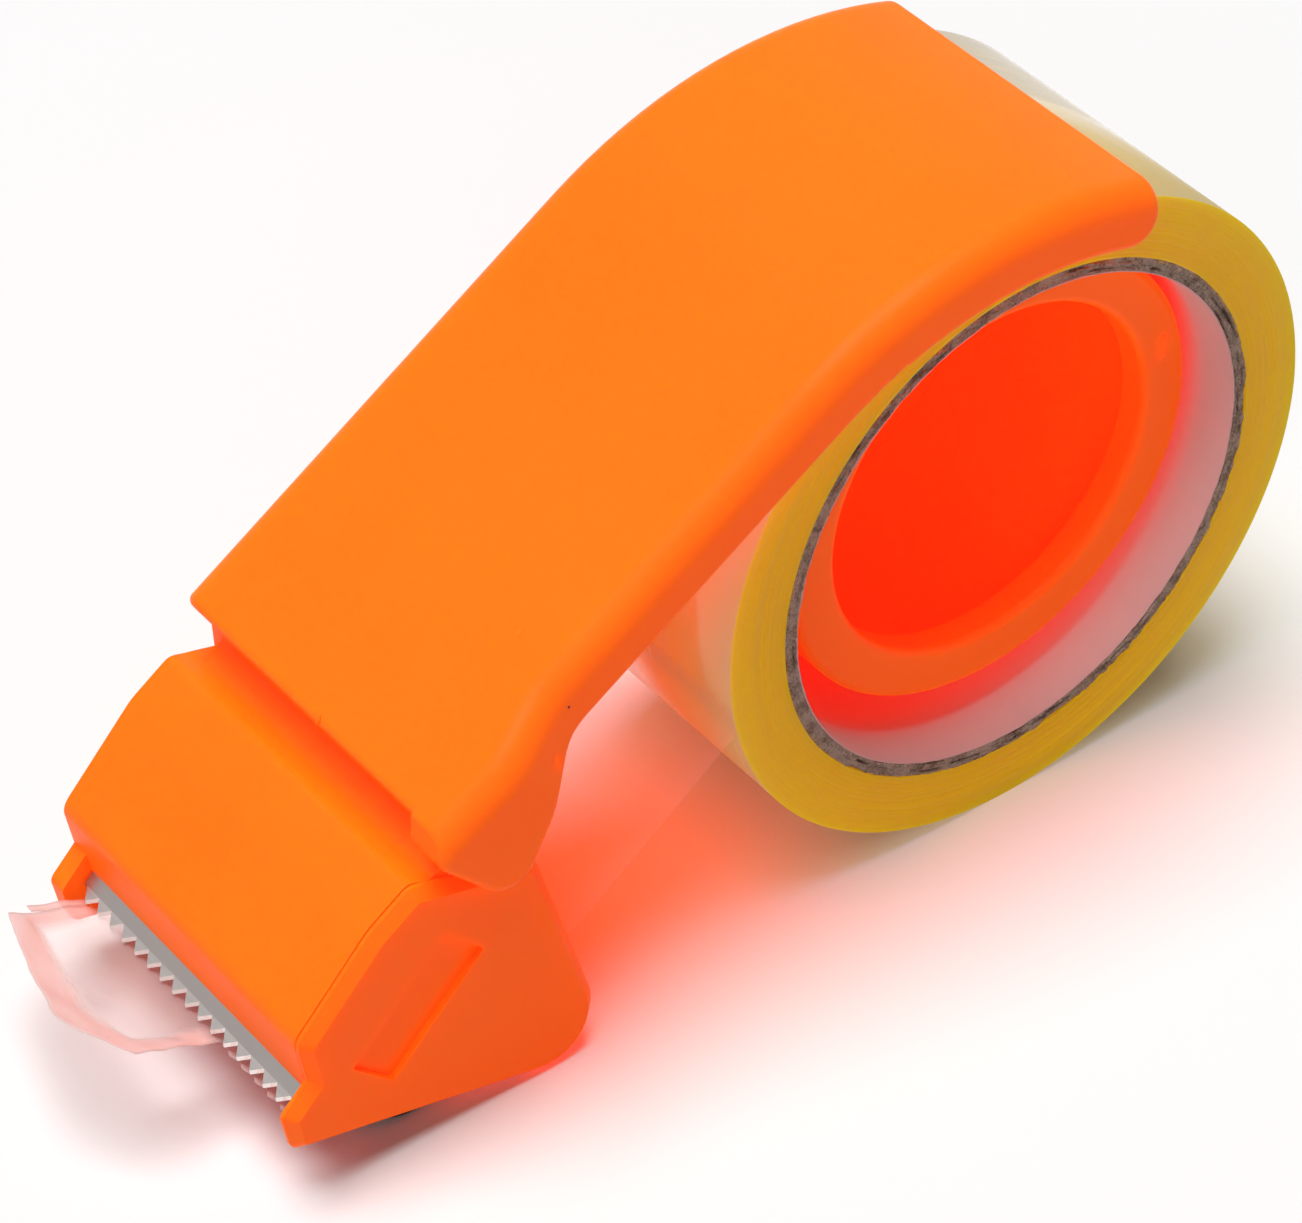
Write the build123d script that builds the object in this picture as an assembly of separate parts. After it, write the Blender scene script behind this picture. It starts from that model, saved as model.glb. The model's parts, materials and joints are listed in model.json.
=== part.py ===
"""Hand-held packing tape dispenser with a roll of tape: one STEP file per piece.

Side-view places are (x, z): x runs from the roll's axis towards the roll's rear, so the head lies at
negative x, and z is the height above the surface that it stands on. Y runs across the tape, from the
near side to the far side, with 0 at the middle of the tape. Sizes are millimetres and degrees.
"""

import math
import os

from build123d import *

# Tape roll
tape_width = 48.0
core_bore = 76.2
liner_thickness = 0.25
core_wall = 2.0
winding_depth = 9.0
wound_fit = 0.02

# Tape film, drawn thicker than real film so that it is a sound solid
film_thickness = 0.25
film_gap = 0.3
peel_angle = 13.3
peel_gap = 0.45

# Free end of the tape past the blade
tail_angle = 25.0
tail_far_length = 12.8
tail_far_round = 0.8
tail_length = 20.4
tail_tip_y = 0.3
tail_tip_round = 3.0
tail_near_length = 14.0
tail_near_round = 5.0
tail_near_y = -9.1

# Hub drum, on which the roll hangs
hub_play = 7.2
hub_diameter = core_bore - hub_play
hub_wall = 2.6
hub_face_thickness = 4.5
hub_hole = 54.0
hub_recess = 6.2
hub_edge_round = 1.2
hang_gap = 0.3
hub_fit = 0.1
hub_spigot_height = 1.6
hub_spigot_wall = 2.0

# Moulded walls
wall = 2.2
side_wall = 3.3
side_gap = 1.0
shoulder_round = 3.9
rim_round = 1.2
inner_round = 0.5

# Back plate: a crown over the roll, then a straight handle down to the lip
crown_radius = 67.0
crown_gap = 2.0
crown_forward = 3.9
plate_rear = 16.9
flange_depth = 8.9
flange_end_round = 4.0
inner_lead = 10.0
lip_place = (-100.0, 53.9)

# Ear on the near flange, outside the near cheek
ear_reach = 3.2
ear_gap = 0.3
ear_front = (-97.4, 50.2)
ear_front_radius = 2.8
ear_foot = (-89.9, 44.6)
ear_foot_radius = 4.5
ear_top_length = 34.0
ear_corner_round = 6.0
ear_length = 12.0
ear_ramp = 10.0
ear_bend = 12.0
ear_drop = 30.0

# Leg that joins the far flange to the far cheek
leg_centre = (-88.0, 42.2)
leg_radius = 7.0
leg_top_length = 20.0

# Groove between the lip and the head, from the lip's tip
groove_floor = (1.7, -11.2)
groove_round = 2.2

# Head's cover, from the lip's tip down to the front corner
cover_top = (-2.1, -9.6)
cover_shoulder = (-8.6, -14.0)
cover_knee = (-14.3, -20.2)
cover_front = (-20.3, -26.6)
cover_top_round = 2.0
cover_bend_round = 9.0
cover_front_round = 3.0

# Blade, lying along the same slope as the cover's front
blade_tip = (-121.3, 14.3)
blade_angle = 45.6
blade_thickness = 0.6
blade_depth = 12.0
blade_show = 4.0
blade_end_gap = 0.4
tooth_pitch = 3.0
tooth_depth = 1.9

# Stakes on the cover that hold the blade
stake_diameter = 3.0
stake_fit = 0.1
stake_head_diameter = 5.0
stake_head_height = 1.0
stake_spacing = 32.0
stake_from_back = 4.0

# Cheeks of the head
near_bevel = 1.5
far_bevel = 0.4
heel_centre = (-82.5, 8.0)
beak_top = (-121.6, 15.4)
beak_top_radius = 1.5
beak_foot = (-120.3, 11.2)
beak_foot_radius = 2.0
cheek_rear_top = (-83.4, 39.0)
seam_gap = 0.25
seam_setback = 1.0
register_fit = 0.15

# Shallow slanted recess in each cheek
recess_length = 21.1
recess_width = 8.6
recess_depth = 1.0
recess_centre = (-102.7, 24.4)
recess_round = 0.6

# Pegs that hold the near cheek, in sockets under the cover
peg_diameter = 4.0
peg_length = 6.0
peg_fit = 0.05
socket_wall = 2.0
socket_depth = 8.0
peg_drop = 5.2

# Roller and its pin
roller_place = (-101.5, 8.6)
roller_radius = 7.5
sleeve_thickness = 2.5
sleeve_fit = 0.02
roller_end_gap = 0.4
axle_diameter = 4.0
axle_run_fit = 0.05
axle_seat_fit = 0.03
axle_seat_depth = 2.0
axle_end_play = 0.1

# Far disc that the drum stands on
disc_radius = 42.0
neck_turn = 6.0

# Worked-out sizes
core_inner_r = core_bore / 2 + liner_thickness + wound_fit
core_outer_r = core_inner_r + core_wall
winding_inner_r = core_outer_r + wound_fit
roll_r = winding_inner_r + winding_depth
roll_place = (0.0, roll_r)
hub_r = hub_diameter / 2
hub_place = (0.0, roll_r + core_bore / 2 - hang_gap - hub_r)
half_tape = tape_width / 2
inside = half_tape + side_gap
side_face = inside + side_wall
ear_face = side_face + ear_reach
seam_face = inside + seam_setback
crown_centre = (-crown_forward, 2 * roll_r + crown_gap + wall - crown_radius)
heel_radius = heel_centre[1]
axle_seat_r = axle_diameter / 2 + axle_seat_fit


def along(angle, distance):
    """Step in the side view at an angle above the x axis."""
    return (distance * math.cos(math.radians(angle)), distance * math.sin(math.radians(angle)))


def add(*steps):
    """Sum of side-view places or steps."""
    return tuple(sum(parts) for parts in zip(*steps))


def polar(centre, radius, angle):
    """Place on a circle."""
    return add(centre, along(angle, radius))


def tangent_angle(centre, radius, place, turn):
    """Angle, at a circle's centre, of the tangent point of the line to an outside place."""
    dx, dz = place[0] - centre[0], place[1] - centre[1]
    spread = math.degrees(math.acos(radius / math.hypot(dx, dz)))
    return math.degrees(math.atan2(dz, dx)) + turn * spread


def slab(profile, y_low, y_high):
    """Solid between two Y planes with a side-view profile."""
    return extrude(Plane.XZ.offset(-y_low) * profile, amount=y_low - y_high)


def at(place, sketch):
    """Sketch moved to a side-view place."""
    return Pos(*place) * sketch


def ring(place, outer_r, inner_r, y_low, y_high):
    """Tube along Y."""
    return slab(at(place, Circle(outer_r) - Circle(inner_r)), y_low, y_high)


def rod(place, radius, y_low, y_high):
    """Rod along Y."""
    return slab(at(place, Circle(radius)), y_low, y_high)


def polygon(*places):
    """Face inside straight edges."""
    return make_face(Polyline(*places, close=True))


def between(first, second):
    """Face between two open lines, closed by straight ends."""
    ends = [Line(first @ end, second @ end).edges() for end in (0, 1)]
    return make_face(first.edges() + second.edges() + ends[0] + ends[1])


def rounded(face, place, radius):
    """Face with the corner nearest to a place rounded."""
    return fillet(face.vertices().sort_by_distance(place)[0], radius)


def inset(places, distance):
    """Places of a run of lines moved to its left, with mitred corners."""
    normals = []
    for (x0, z0), (x1, z1) in zip(places, places[1:]):
        length = math.hypot(x1 - x0, z1 - z0)
        normals.append(((z0 - z1) / length, (x1 - x0) / length))
    moved = []
    for index, place in enumerate(places):
        before = normals[max(index - 1, 0)]
        after = normals[min(index, len(normals) - 1)]
        scale = distance / (1 + before[0] * after[0] + before[1] * after[1])
        moved.append(add(place, (scale * (before[0] + after[0]), scale * (before[1] + after[1]))))
    return moved


def bend_sign(before, corner, after):
    """1 where a run of lines turns left at a corner, and -1 where it turns right."""
    (x0, z0), (x1, z1) = ((b[0] - a[0], b[1] - a[1]) for a, b in ((before, corner), (corner, after)))
    return math.copysign(1, x0 * z1 - z0 * x1)


def sheet(places, rounds, thickness):
    """Face of one thickness on the left of a run of lines with rounded corners."""
    corners = zip(places, places[1:], places[2:])
    inner_rounds = [max(r - thickness * bend_sign(*corner), 0) for r, corner in zip(rounds, corners)]
    outer = FilletPolyline(*places, radius=rounds)
    return between(outer, FilletPolyline(*inset(places, thickness), radius=inner_rounds))


# Back plate's line: the crown's arc from the rear end, then the tangent handle down to the lip
handle_angle = tangent_angle(crown_centre, crown_radius, lip_place, -1)
handle_start = polar(crown_centre, crown_radius, handle_angle)
handle_slope = handle_angle - 90

# Places on the groove and the cover
groove_back = add(lip_place, along(handle_slope - 90, flange_depth))
groove_places = [groove_back, add(lip_place, groove_floor)]
groove_top = add(lip_place, along(handle_slope - 90, flange_depth / 2))
cover_places = [add(lip_place, step) for step in (cover_top, cover_shoulder, cover_knee, cover_front)]
cover_rounds = [cover_top_round, cover_bend_round, cover_bend_round, cover_front_round]
cover_foot = add(blade_tip, along(blade_angle, blade_show))


def rear_angle(radius):
    """Angle at which an arc about the crown's centre meets the plate's upright rear end."""
    return math.degrees(math.acos((plate_rear - crown_centre[0]) / radius))


def crown_arc(depth, lead=0):
    """Arc at a depth under the crown's line, from the plate's rear end, or behind it, to the handle."""
    radius = crown_radius - depth
    start = rear_angle(radius) - lead
    return CenterArc(crown_centre, radius, start, handle_angle - start)


def handle_place(distance, depth):
    """Side-view place by the distance up the handle from the lip and the depth under it."""
    return add(lip_place, along(handle_slope, distance), along(handle_slope - 90, depth))


def handle_band():
    """Side view of the handle down to the foot of its flanges."""
    foot = polar(crown_centre, crown_radius - flange_depth, handle_angle)
    return polygon(handle_start, lip_place, groove_back, foot)


def nearest_edges(solid, places, *levels):
    """Edges of a solid nearest to side-view places at Y levels."""
    spots = [(x, y, z) for x, z in places for y in levels]
    return [solid.edges().sort_by_distance(spot)[0] for spot in spots]


def make_outer():
    """Outside of the back plate and its flanges as a block, rounded along its shoulders and rims."""
    top, foot = crown_arc(0), crown_arc(flange_depth)
    crown = rounded(between(top, foot), foot @ 0, flange_end_round)
    block = slab(crown + handle_band(), -side_face, side_face)
    shoulders = [tuple(top @ 0.5)[:2], handle_place(ear_top_length, 0)]
    block = fillet(nearest_edges(block, shoulders, -side_face, side_face), shoulder_round)
    return fillet(nearest_edges(block, [tuple(top @ 0)[:2], lip_place], 0), rim_round)


def make_inner():
    """Room under the back plate, between the flanges and behind the groove, as a block."""
    deep = flange_depth + ear_drop
    top = crown_arc(wall, inner_lead)
    crown = between(top, crown_arc(deep, inner_lead))
    foot = polar(crown_centre, crown_radius - deep, handle_angle)
    handle = polygon(*inset([handle_start, lip_place, *groove_places], wall), heel_centre, foot)
    block = slab(crown + handle, -inside, inside)
    shoulders = [tuple(top @ 0.5)[:2], handle_place(ear_top_length, wall)]
    return fillet(nearest_edges(block, shoulders, -inside, inside), inner_round)


def make_ear():
    """Ear on the near flange: it stands out past the flange, and ramps back to it up the handle."""
    circles = [at(ear_front, Circle(ear_front_radius)), at(ear_foot, Circle(ear_foot_radius))]
    top = Line(lip_place, handle_place(ear_top_length, 0)).edges()
    lobe = make_hull(circles[0].edges() + circles[1].edges() + top)
    ramp_end = ear_length + ear_ramp
    profile = rounded(lobe + handle_band(), handle_place(ramp_end, flange_depth), ear_corner_round)
    profile = rounded(profile, lip_place, rim_round)
    root = shoulder_round - side_face
    ends = (-ear_ramp, ramp_end + ear_bend / 2)
    bends = [(ear_length, -ear_face), (ramp_end, -side_face)]
    outer = FilletPolyline((ends[0], -ear_face), *bends, (ends[1], -side_face), radius=ear_bend)
    plan = between(outer, Line((ends[0], 0), (ends[1], 0)))
    block = extrude(sloped_plane(lip_place, handle_slope) * plan, amount=-ear_drop)
    block = fillet(nearest_edges(block, [lip_place], -ear_face), shoulder_round)
    ear = block & slab(profile, -ear_face, root)
    ear_sole = add(ear_foot, (0, -ear_foot_radius))
    return fillet(nearest_edges(ear, [ear_sole], -ear_face), rim_round)


def groove_room():
    """Side view of the open groove between the lip and the cover's top."""
    line = FilletPolyline(lip_place, *groove_places, cover_places[0], radius=groove_round)
    return make_face(line.edges() + Line(cover_places[0], lip_place).edges())


def head_profile():
    """Side view of the head: the cover's outline and the heel at the rear."""
    heel = at(heel_centre, Circle(heel_radius)).edges()
    cover = FilletPolyline(groove_places[1], *cover_places, cover_foot, radius=cover_rounds).edges()
    return make_hull(heel + cover + Line(cheek_rear_top, groove_places[1]).edges())


def beak_profile():
    """Side view of a cheek's beak, which guards the end of the blade, down to the heel."""
    heel = at(heel_centre, Circle(heel_radius)).edges()
    beak_end = add(beak_top, along(blade_angle, blade_depth))
    top = [at(place, Circle(beak_top_radius)).edges()[0] for place in (beak_top, beak_end)]
    return make_hull(heel + top + at(beak_foot, Circle(beak_foot_radius)).edges())


def cheek_profile():
    """Side wall of the head, with a notch between the cover's front and the beak."""
    return head_profile() + beak_profile()


def recess_profile():
    """Side view of a cheek's recess."""
    slanted = Rot(0, 0, blade_angle) * RectangleRounded(recess_length, recess_width, recess_round)
    return at(recess_centre, slanted)


def bevelled(outer_face, size):
    """Solid of a face, with that face's rim bevelled."""
    return chamfer(outer_face.outer_wire().edges(), size)


def blade_place(along_depth, above):
    """Side-view place by the depth from the blade's teeth and the height above its top face."""
    return add(blade_tip, along(blade_angle, along_depth), along(blade_angle + 90, above))


def sloped_plane(place, angle):
    """Plane across the tape through a side-view place: x along the slope, y along Y."""
    x_step, z_step = along(angle, 1)
    return Plane(origin=(place[0], 0, place[1]), x_dir=(x_step, 0, z_step), z_dir=(-z_step, 0, x_step))


def stake_spots():
    """Middles of the two stakes on the blade's plane."""
    return Pos(blade_depth - stake_from_back, 0) * GridLocations(0, stake_spacing, 1, 2)


def peg_places():
    """Middles of the two pegs, under the cover's shoulder and knee."""
    return inset(cover_places, peg_drop)[1:3]


def make_plate():
    """Back plate with its rounded shoulders and flanges, and the ear on the near one."""
    block = make_outer() + make_ear()
    cheek_room = slab(offset(cheek_profile(), amount=ear_gap), -side_face - ear_gap, -inside)
    return block - cheek_room - make_inner()


def make_stakes():
    """Posts through the blade, with heads flattened over it."""
    root = wall / 2
    down = (Align.CENTER, Align.CENTER, Align.MAX)
    shank = Pos(0, 0, root) * Cylinder(stake_diameter / 2, root + blade_thickness, align=down)
    head = Pos(0, 0, -blade_thickness) * Cylinder(stake_head_diameter / 2, stake_head_height, align=down)
    return [sloped_plane(blade_tip, blade_angle) * spot * (shank + head) for spot in stake_spots()]


def make_cover():
    """Head's cover from the groove to the blade, with the ledge, stakes and sockets under it."""
    line = [groove_top, *groove_places, *cover_places, cover_foot]
    room_spots = ((-wall, 0), (blade_depth, 0), (blade_depth, -blade_depth))
    blade_room = polygon(*(blade_place(*spot) for spot in room_spots))
    profile = sheet(line, [groove_round, groove_round, *cover_rounds], wall) - blade_room
    ledge_spots = ((blade_show, 0), (blade_depth, 0), (blade_depth, wall), (blade_show + wall, wall))
    ledge = polygon(*(blade_place(*spot) for spot in ledge_spots))
    register_face = -inside + register_fit
    cover = slab(profile, -seam_face, inside) + slab(ledge, register_face, inside)
    socket_r = peg_diameter / 2 + peg_fit
    for place in peg_places():
        cover += rod(place, socket_r + socket_wall, register_face, -inside + socket_depth)
        cover -= rod(place, socket_r, register_face, -inside + socket_depth)
    return cover + make_stakes()


def make_far_side():
    """Far cheek with the leg above it, and the disc with the spigot that the drum stands on."""
    cheek = slab(cheek_profile(), inside, side_face)
    cheek = bevelled(cheek.faces().sort_by(Axis.Y)[-1], far_bevel)
    cheek -= slab(groove_room(), inside, side_face)
    cheek -= slab(recess_profile(), side_face - recess_depth, side_face)
    leg_top = Line(groove_back, handle_place(leg_top_length, flange_depth)).edges()
    leg = slab(make_hull(at(leg_centre, Circle(leg_radius)).edges() + leg_top), inside, side_face)
    disc = at(hub_place, Circle(disc_radius))
    neck = crown_arc(flange_depth / 2, -neck_turn)
    arm = slab(make_hull(disc.edges() + neck.edges()), inside, side_face)
    spigot_r = hub_r - hub_wall - hub_fit
    spigot = ring(hub_place, spigot_r, spigot_r - hub_spigot_wall, inside - hub_spigot_height, inside)
    return cheek + leg + arm + spigot


def make_body():
    """One moulding: back plate, flanges, head's cover, far cheek and far disc."""
    body = make_plate() + make_cover() + make_far_side()
    return body - rod(roller_place, axle_seat_r, inside, inside + axle_seat_depth)


def make_near_cheek():
    """Side plate of the head, with a register inside the cover and two pegs."""
    plate = slab(cheek_profile(), -side_face, -seam_face - seam_gap)
    plate = bevelled(plate.faces().sort_by(Axis.Y)[0], near_bevel)
    register = offset(head_profile() - groove_room(), amount=-(wall + register_fit))
    cheek = plate + slab(register, -seam_face - seam_gap, -inside)
    cheek -= slab(recess_profile(), -side_face, -side_face + recess_depth)
    cheek -= rod(roller_place, axle_seat_r, -inside - axle_seat_depth, -inside)
    for place in peg_places():
        cheek += rod(place, peg_diameter / 2, -inside, -inside + peg_length)
    return cheek


def make_hub_drum():
    """Hollow drum, open to the far disc, with a holed face towards the near side."""
    near = -half_tape + hub_recess
    drum = ring(hub_place, hub_r, hub_r - hub_wall, near, inside)
    drum += ring(hub_place, hub_r, hub_hole / 2, near, near + hub_face_thickness)
    return fillet(drum.faces().sort_by(Axis.Y)[0].edges(), hub_edge_round)


def make_blade():
    """Steel strip with a row of teeth and a hole for each stake."""
    half = inside - blade_end_gap
    count = int(2 * half / tooth_pitch)
    first = -tooth_pitch * count / 2
    edge = [(tooth_depth, -half)]
    for index in range(count):
        start = first + index * tooth_pitch
        edge += [(tooth_depth, start), (0, start + tooth_pitch / 2)]
    edge += [(tooth_depth, first + count * tooth_pitch), (tooth_depth, half)]
    strip = polygon(*edge, (blade_depth, half), (blade_depth, -half))
    holes = stake_spots() * Circle(stake_diameter / 2 + stake_fit)
    return extrude(sloped_plane(blade_tip, blade_angle) * (strip - holes), amount=-blade_thickness)


def make_roller():
    """Pin, plastic tube and rubber sleeve of the roller."""
    axle_half = inside + axle_seat_depth - axle_end_play
    tube_half = inside - roller_end_gap
    tube_r = roller_radius - sleeve_thickness
    axle_r = axle_diameter / 2
    return {
        "roller_axle": rod(roller_place, axle_r, -axle_half, axle_half),
        "roller_core": ring(roller_place, tube_r - sleeve_fit, axle_r + axle_run_fit, -tube_half, tube_half),
        "roller_sleeve": ring(roller_place, roller_radius, tube_r, -half_tape, half_tape),
    }


def make_roll():
    """Cardboard core, its paper liner and the wound tape."""
    liner_r = core_bore / 2
    sizes = {
        "core_liner": (liner_r + liner_thickness, liner_r),
        "tape_core": (core_outer_r, core_inner_r),
        "tape_winding": (roll_r, winding_inner_r),
    }
    return {name: ring(roll_place, *radii, -half_tape, half_tape) for name, radii in sizes.items()}


def make_film():
    """Film from the roll to the roller, then round the roller to the blade, and its free end."""
    inner_r = roller_radius + film_gap
    outer_r = inner_r + film_thickness
    peel_place = polar(roll_place, roll_r + peel_gap, 180 + peel_angle)
    blade_side = blade_place(0, -blade_thickness - film_gap)
    run_angle = tangent_angle(roller_place, inner_r, peel_place, -1)
    nose_angle = tangent_angle(roller_place, inner_r, blade_side, 1)
    run_end, run_outer = (polar(roller_place, r, run_angle) for r in (inner_r, outer_r))
    run = polygon(peel_place, run_end, run_outer, add(peel_place, along(run_angle, film_thickness)))
    wrap = (run_angle - nose_angle) % 360
    bend = between(*(CenterArc(roller_place, r, nose_angle, wrap) for r in (inner_r, outer_r)))
    rise_start, rise_outer = (polar(roller_place, r, nose_angle) for r in (inner_r, outer_r))
    rise = polygon(rise_start, rise_outer, add(blade_side, along(nose_angle, film_thickness)), blade_side)
    tail_turn = (180 - tail_angle) - (nose_angle - 90)
    return {
        "tape_run": slab(run, -half_tape, half_tape),
        "tape_nose": slab(bend + rise, -half_tape, half_tape),
        "tape_tail": make_tail(blade_side, film_thickness * math.sin(math.radians(tail_turn))),
    }


def make_tail(blade_side, start):
    """Torn free end of the film, forward of the blade, on the far part of its width."""
    far_root, near_root = (start, half_tape), (start, tail_near_y)
    tips = [(tail_far_length, half_tape), (tail_length, tail_tip_y), (tail_near_length, tail_near_y)]
    rounds = [tail_far_round, tail_tip_round, tail_near_round]
    torn_edge = FilletPolyline(far_root, *tips, near_root, radius=rounds)
    outline = make_face(torn_edge.edges() + Line(near_root, far_root).edges())
    return extrude(sloped_plane(blade_side, 180 - tail_angle) * outline, amount=film_thickness)


def main():
    nodes = {
        "body": make_body(),
        "near_cheek": make_near_cheek(),
        "hub_drum": make_hub_drum(),
        "blade": make_blade(),
        **make_roller(),
        **make_roll(),
        **make_film(),
    }
    boxes = [solid.bounding_box() for solid in nodes.values()]
    middle_x = (min(box.min.X for box in boxes) + max(box.max.X for box in boxes)) / 2
    middle_y = (min(box.min.Y for box in boxes) + max(box.max.Y for box in boxes)) / 2
    print(f"roll axis at x {-middle_x:.3f}, z {roll_place[1]:.3f}, middle of the tape at y {-middle_y:.3f}")
    print(f"roller axis at x {roller_place[0] - middle_x:.3f}, z {roller_place[1]:.3f}")
    os.makedirs("parts", exist_ok=True)
    for name, solid in nodes.items():
        export_step(Pos(-middle_x, -middle_y, 0) * solid, f"parts/{name}.step")


main()
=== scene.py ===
"""Look of a hand-held packing tape dispenser: its finishes, finely shaped pieces, studio and camera.

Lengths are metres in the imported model's frame: +X from the head to the roll, +Y from the near side to the
far side, +Z up. A side-view place is (x, z). The frame is loaded first, because places and sizes come from
it.
"""

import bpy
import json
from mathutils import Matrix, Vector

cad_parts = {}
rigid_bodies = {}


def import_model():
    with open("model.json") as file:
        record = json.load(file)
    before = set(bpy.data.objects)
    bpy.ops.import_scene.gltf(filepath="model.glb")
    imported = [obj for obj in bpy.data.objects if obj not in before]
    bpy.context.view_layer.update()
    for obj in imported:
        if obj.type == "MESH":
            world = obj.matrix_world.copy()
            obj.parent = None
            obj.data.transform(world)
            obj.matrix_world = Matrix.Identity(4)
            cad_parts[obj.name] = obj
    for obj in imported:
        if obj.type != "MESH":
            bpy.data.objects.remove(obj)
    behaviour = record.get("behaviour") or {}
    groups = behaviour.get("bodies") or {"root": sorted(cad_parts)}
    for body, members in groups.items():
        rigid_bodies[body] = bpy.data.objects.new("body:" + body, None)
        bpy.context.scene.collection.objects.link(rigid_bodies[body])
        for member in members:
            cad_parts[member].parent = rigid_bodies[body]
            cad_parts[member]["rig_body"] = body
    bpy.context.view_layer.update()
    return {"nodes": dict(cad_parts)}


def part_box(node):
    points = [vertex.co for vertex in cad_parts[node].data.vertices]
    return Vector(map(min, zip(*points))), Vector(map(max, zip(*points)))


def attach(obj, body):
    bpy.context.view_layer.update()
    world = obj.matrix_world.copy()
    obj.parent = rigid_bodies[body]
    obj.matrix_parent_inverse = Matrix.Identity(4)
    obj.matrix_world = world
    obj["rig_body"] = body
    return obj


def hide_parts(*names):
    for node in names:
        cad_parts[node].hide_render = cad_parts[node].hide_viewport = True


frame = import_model()

import json
import math
import random

import bmesh
import bpy
from bpy.props import FloatProperty, FloatVectorProperty, IntProperty, PointerProperty
from mathutils import Vector, noise

bl_info = {
    "name": "Tape Dispenser Look",
    "version": (1, 0, 0),
    "blender": (4, 5, 0),
    "location": "View3D > Sidebar > Dispenser",
    "description": "Finishes, detailed pieces, studio and camera for a hand-held tape dispenser",
    "category": "Object",
}

MM = 0.001

# Camera at the photo's viewing angle: its place, where it points, and its lens and sensor in millimetres
CAMERA_PLACE = (-0.3004, -0.3928, 0.4741)
CAMERA_AIM = (0.457, 0.5985, -0.658)
CAMERA_LENS = 136.4
CAMERA_SENSOR = 36.0

# Lamps: name, strength, spread in degrees and the way that the light goes
LAMPS = (
    ("soft_key", 2.9, 36, (0.16, -0.05, -1.0)),
    ("soft_fill", 0.55, 60, (0.9, 0.8, -0.3)),
)
FLOOR_HALF = 3.0
# The air's light on the object, and the share of its full white that shines back from glossy surfaces
AIR_LIGHT = 0.02
AIR_GLOSS = 0.8

# Sockets of a Mix node's two colours and of its result
MIX_A, MIX_B, MIX_RESULT = 6, 7, 2
# Most of a noise pattern's values lie in this range.
NOISE_SPAN = {"From Min": 0.3, "From Max": 0.7}


def round_box(node):
    """Side-view middle of a round node, its radius and its half width across the tape."""
    low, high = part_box(node)
    return ((low.x + high.x) / 2, (low.z + high.z) / 2), (high.z - low.z) / 2, (high.y - low.y) / 2


ROLL, ROLL_RADIUS, HALF_TAPE = round_box("tape_winding")
TAPE_MIDDLE = sum(corner.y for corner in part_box("tape_winding")) / 2
WOUND_FIT = 0.02 * MM
CORE_RADIUS = round_box("tape_core")[1]
LINER_RADIUS = round_box("core_liner")[1]
ROLLER, ROLLER_RADIUS, _ = round_box("roller_sleeve")
BLADE_LOW, BLADE_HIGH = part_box("blade")
CHEEK_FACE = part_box("near_cheek")[0].y
RECESS_DEPTH = 1.0 * MM


def linear(code):
    """Linear colour of an sRGB hex code, with full alpha."""
    shares = [int(code[start:start + 2], 16) / 255 for start in (1, 3, 5)]
    return [s / 12.92 if s <= 0.04045 else ((s + 0.055) / 1.055) ** 2.4 for s in shares] + [1.0]


def colour(name, description, code):
    """Colour property whose default is an sRGB hex code."""
    return FloatVectorProperty(name=name, description=description, default=linear(code), subtype="COLOR",
                               size=4, min=0.0, max=1.0)


def length(name, description, default):
    """Length property in metres."""
    return FloatProperty(name=name, description=description, default=default, subtype="DISTANCE",
                         unit="LENGTH", min=0.0, precision=5)


def angle(name, description, degrees):
    """Angle property, given in degrees."""
    return FloatProperty(name=name, description=description, default=math.radians(degrees), subtype="ANGLE",
                         unit="ROTATION")


class DispenserColours(bpy.types.PropertyGroup):
    """Colours of the finishes."""
    plastic: colour("Plastic", "Moulded body, cheek and hub", "#FF7E06")
    plastic_flow: colour("Plastic flow", "Paler bands where the plastic flowed", "#FF880C")
    plastic_shadow: colour("Plastic shadow", "Tint of light at each surface of a wall it passes", "#F8873A")
    # Painted glow: the plastic gives out this red evenly, in light and shade alike, so shaded faces and
    # hollows stay red and the floor near them is lit red.
    painted_glow: colour("Plastic glow", "Red that the fluorescent pigment gives back", "#FF3012")
    steel: colour("Steel", "Blade and pin", "#ABA6A3")
    # Partly real: ground flanks are smoother. Partly a painted glint: this colour is brighter than bare
    # steel, so the teeth's flanks shine.
    ground_steel_and_glint: colour("Ground steel", "Ground flanks of the blade's teeth", "#E6E3E0")
    rubber: colour("Rubber", "Roller's sleeve", "#1B1A1A")
    tube: colour("Tube", "Roller's plastic tube", "#D9D7D2")
    board: colour("Cardboard", "Cut edge of the core", "#C2AA9B")
    # Painted pink: the liner is white paper, and its pink stands in for red light that the mouldings throw
    # on it.
    board_fibre: colour("Cardboard fibre", "Dark fibres in the cut edge", "#7A6153")
    paper: colour("Paper", "Core's liner", "#F3C6C2")
    wound: colour("Wound tape", "Side of the wound tape", "#FFCA20")
    # Also the colour of the painted glow that the wound tape gives out evenly, standing in for light that
    # passes through its clear turns.
    wound_deep_and_glow: colour("Wound tape, deep", "Side of the wound tape near the core", "#F2B00C")
    wound_outside: colour("Wound tape, outside", "Outermost turn of the tape", "#EBD088")
    wound_shadow: colour("Wound tape shadow", "Tint of light at each surface of the wound tape", "#ECE6D6")
    film: colour("Film", "Clear film between the roll and the torn end", "#F2E6E2")
    # Its milkiness is the folded double film. Its pink is partly the glue's tint and partly painted orange
    # light from the mouldings.
    film_haze: colour("Film haze", "Folded border of the torn end", "#FAD8D3")
    floor: colour("Floor", "Studio floor as it is seen", "#FEFEFE")
    floor_bounce: colour("Floor bounce", "Studio floor as it lights the object", "#BAB4B2")


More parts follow.
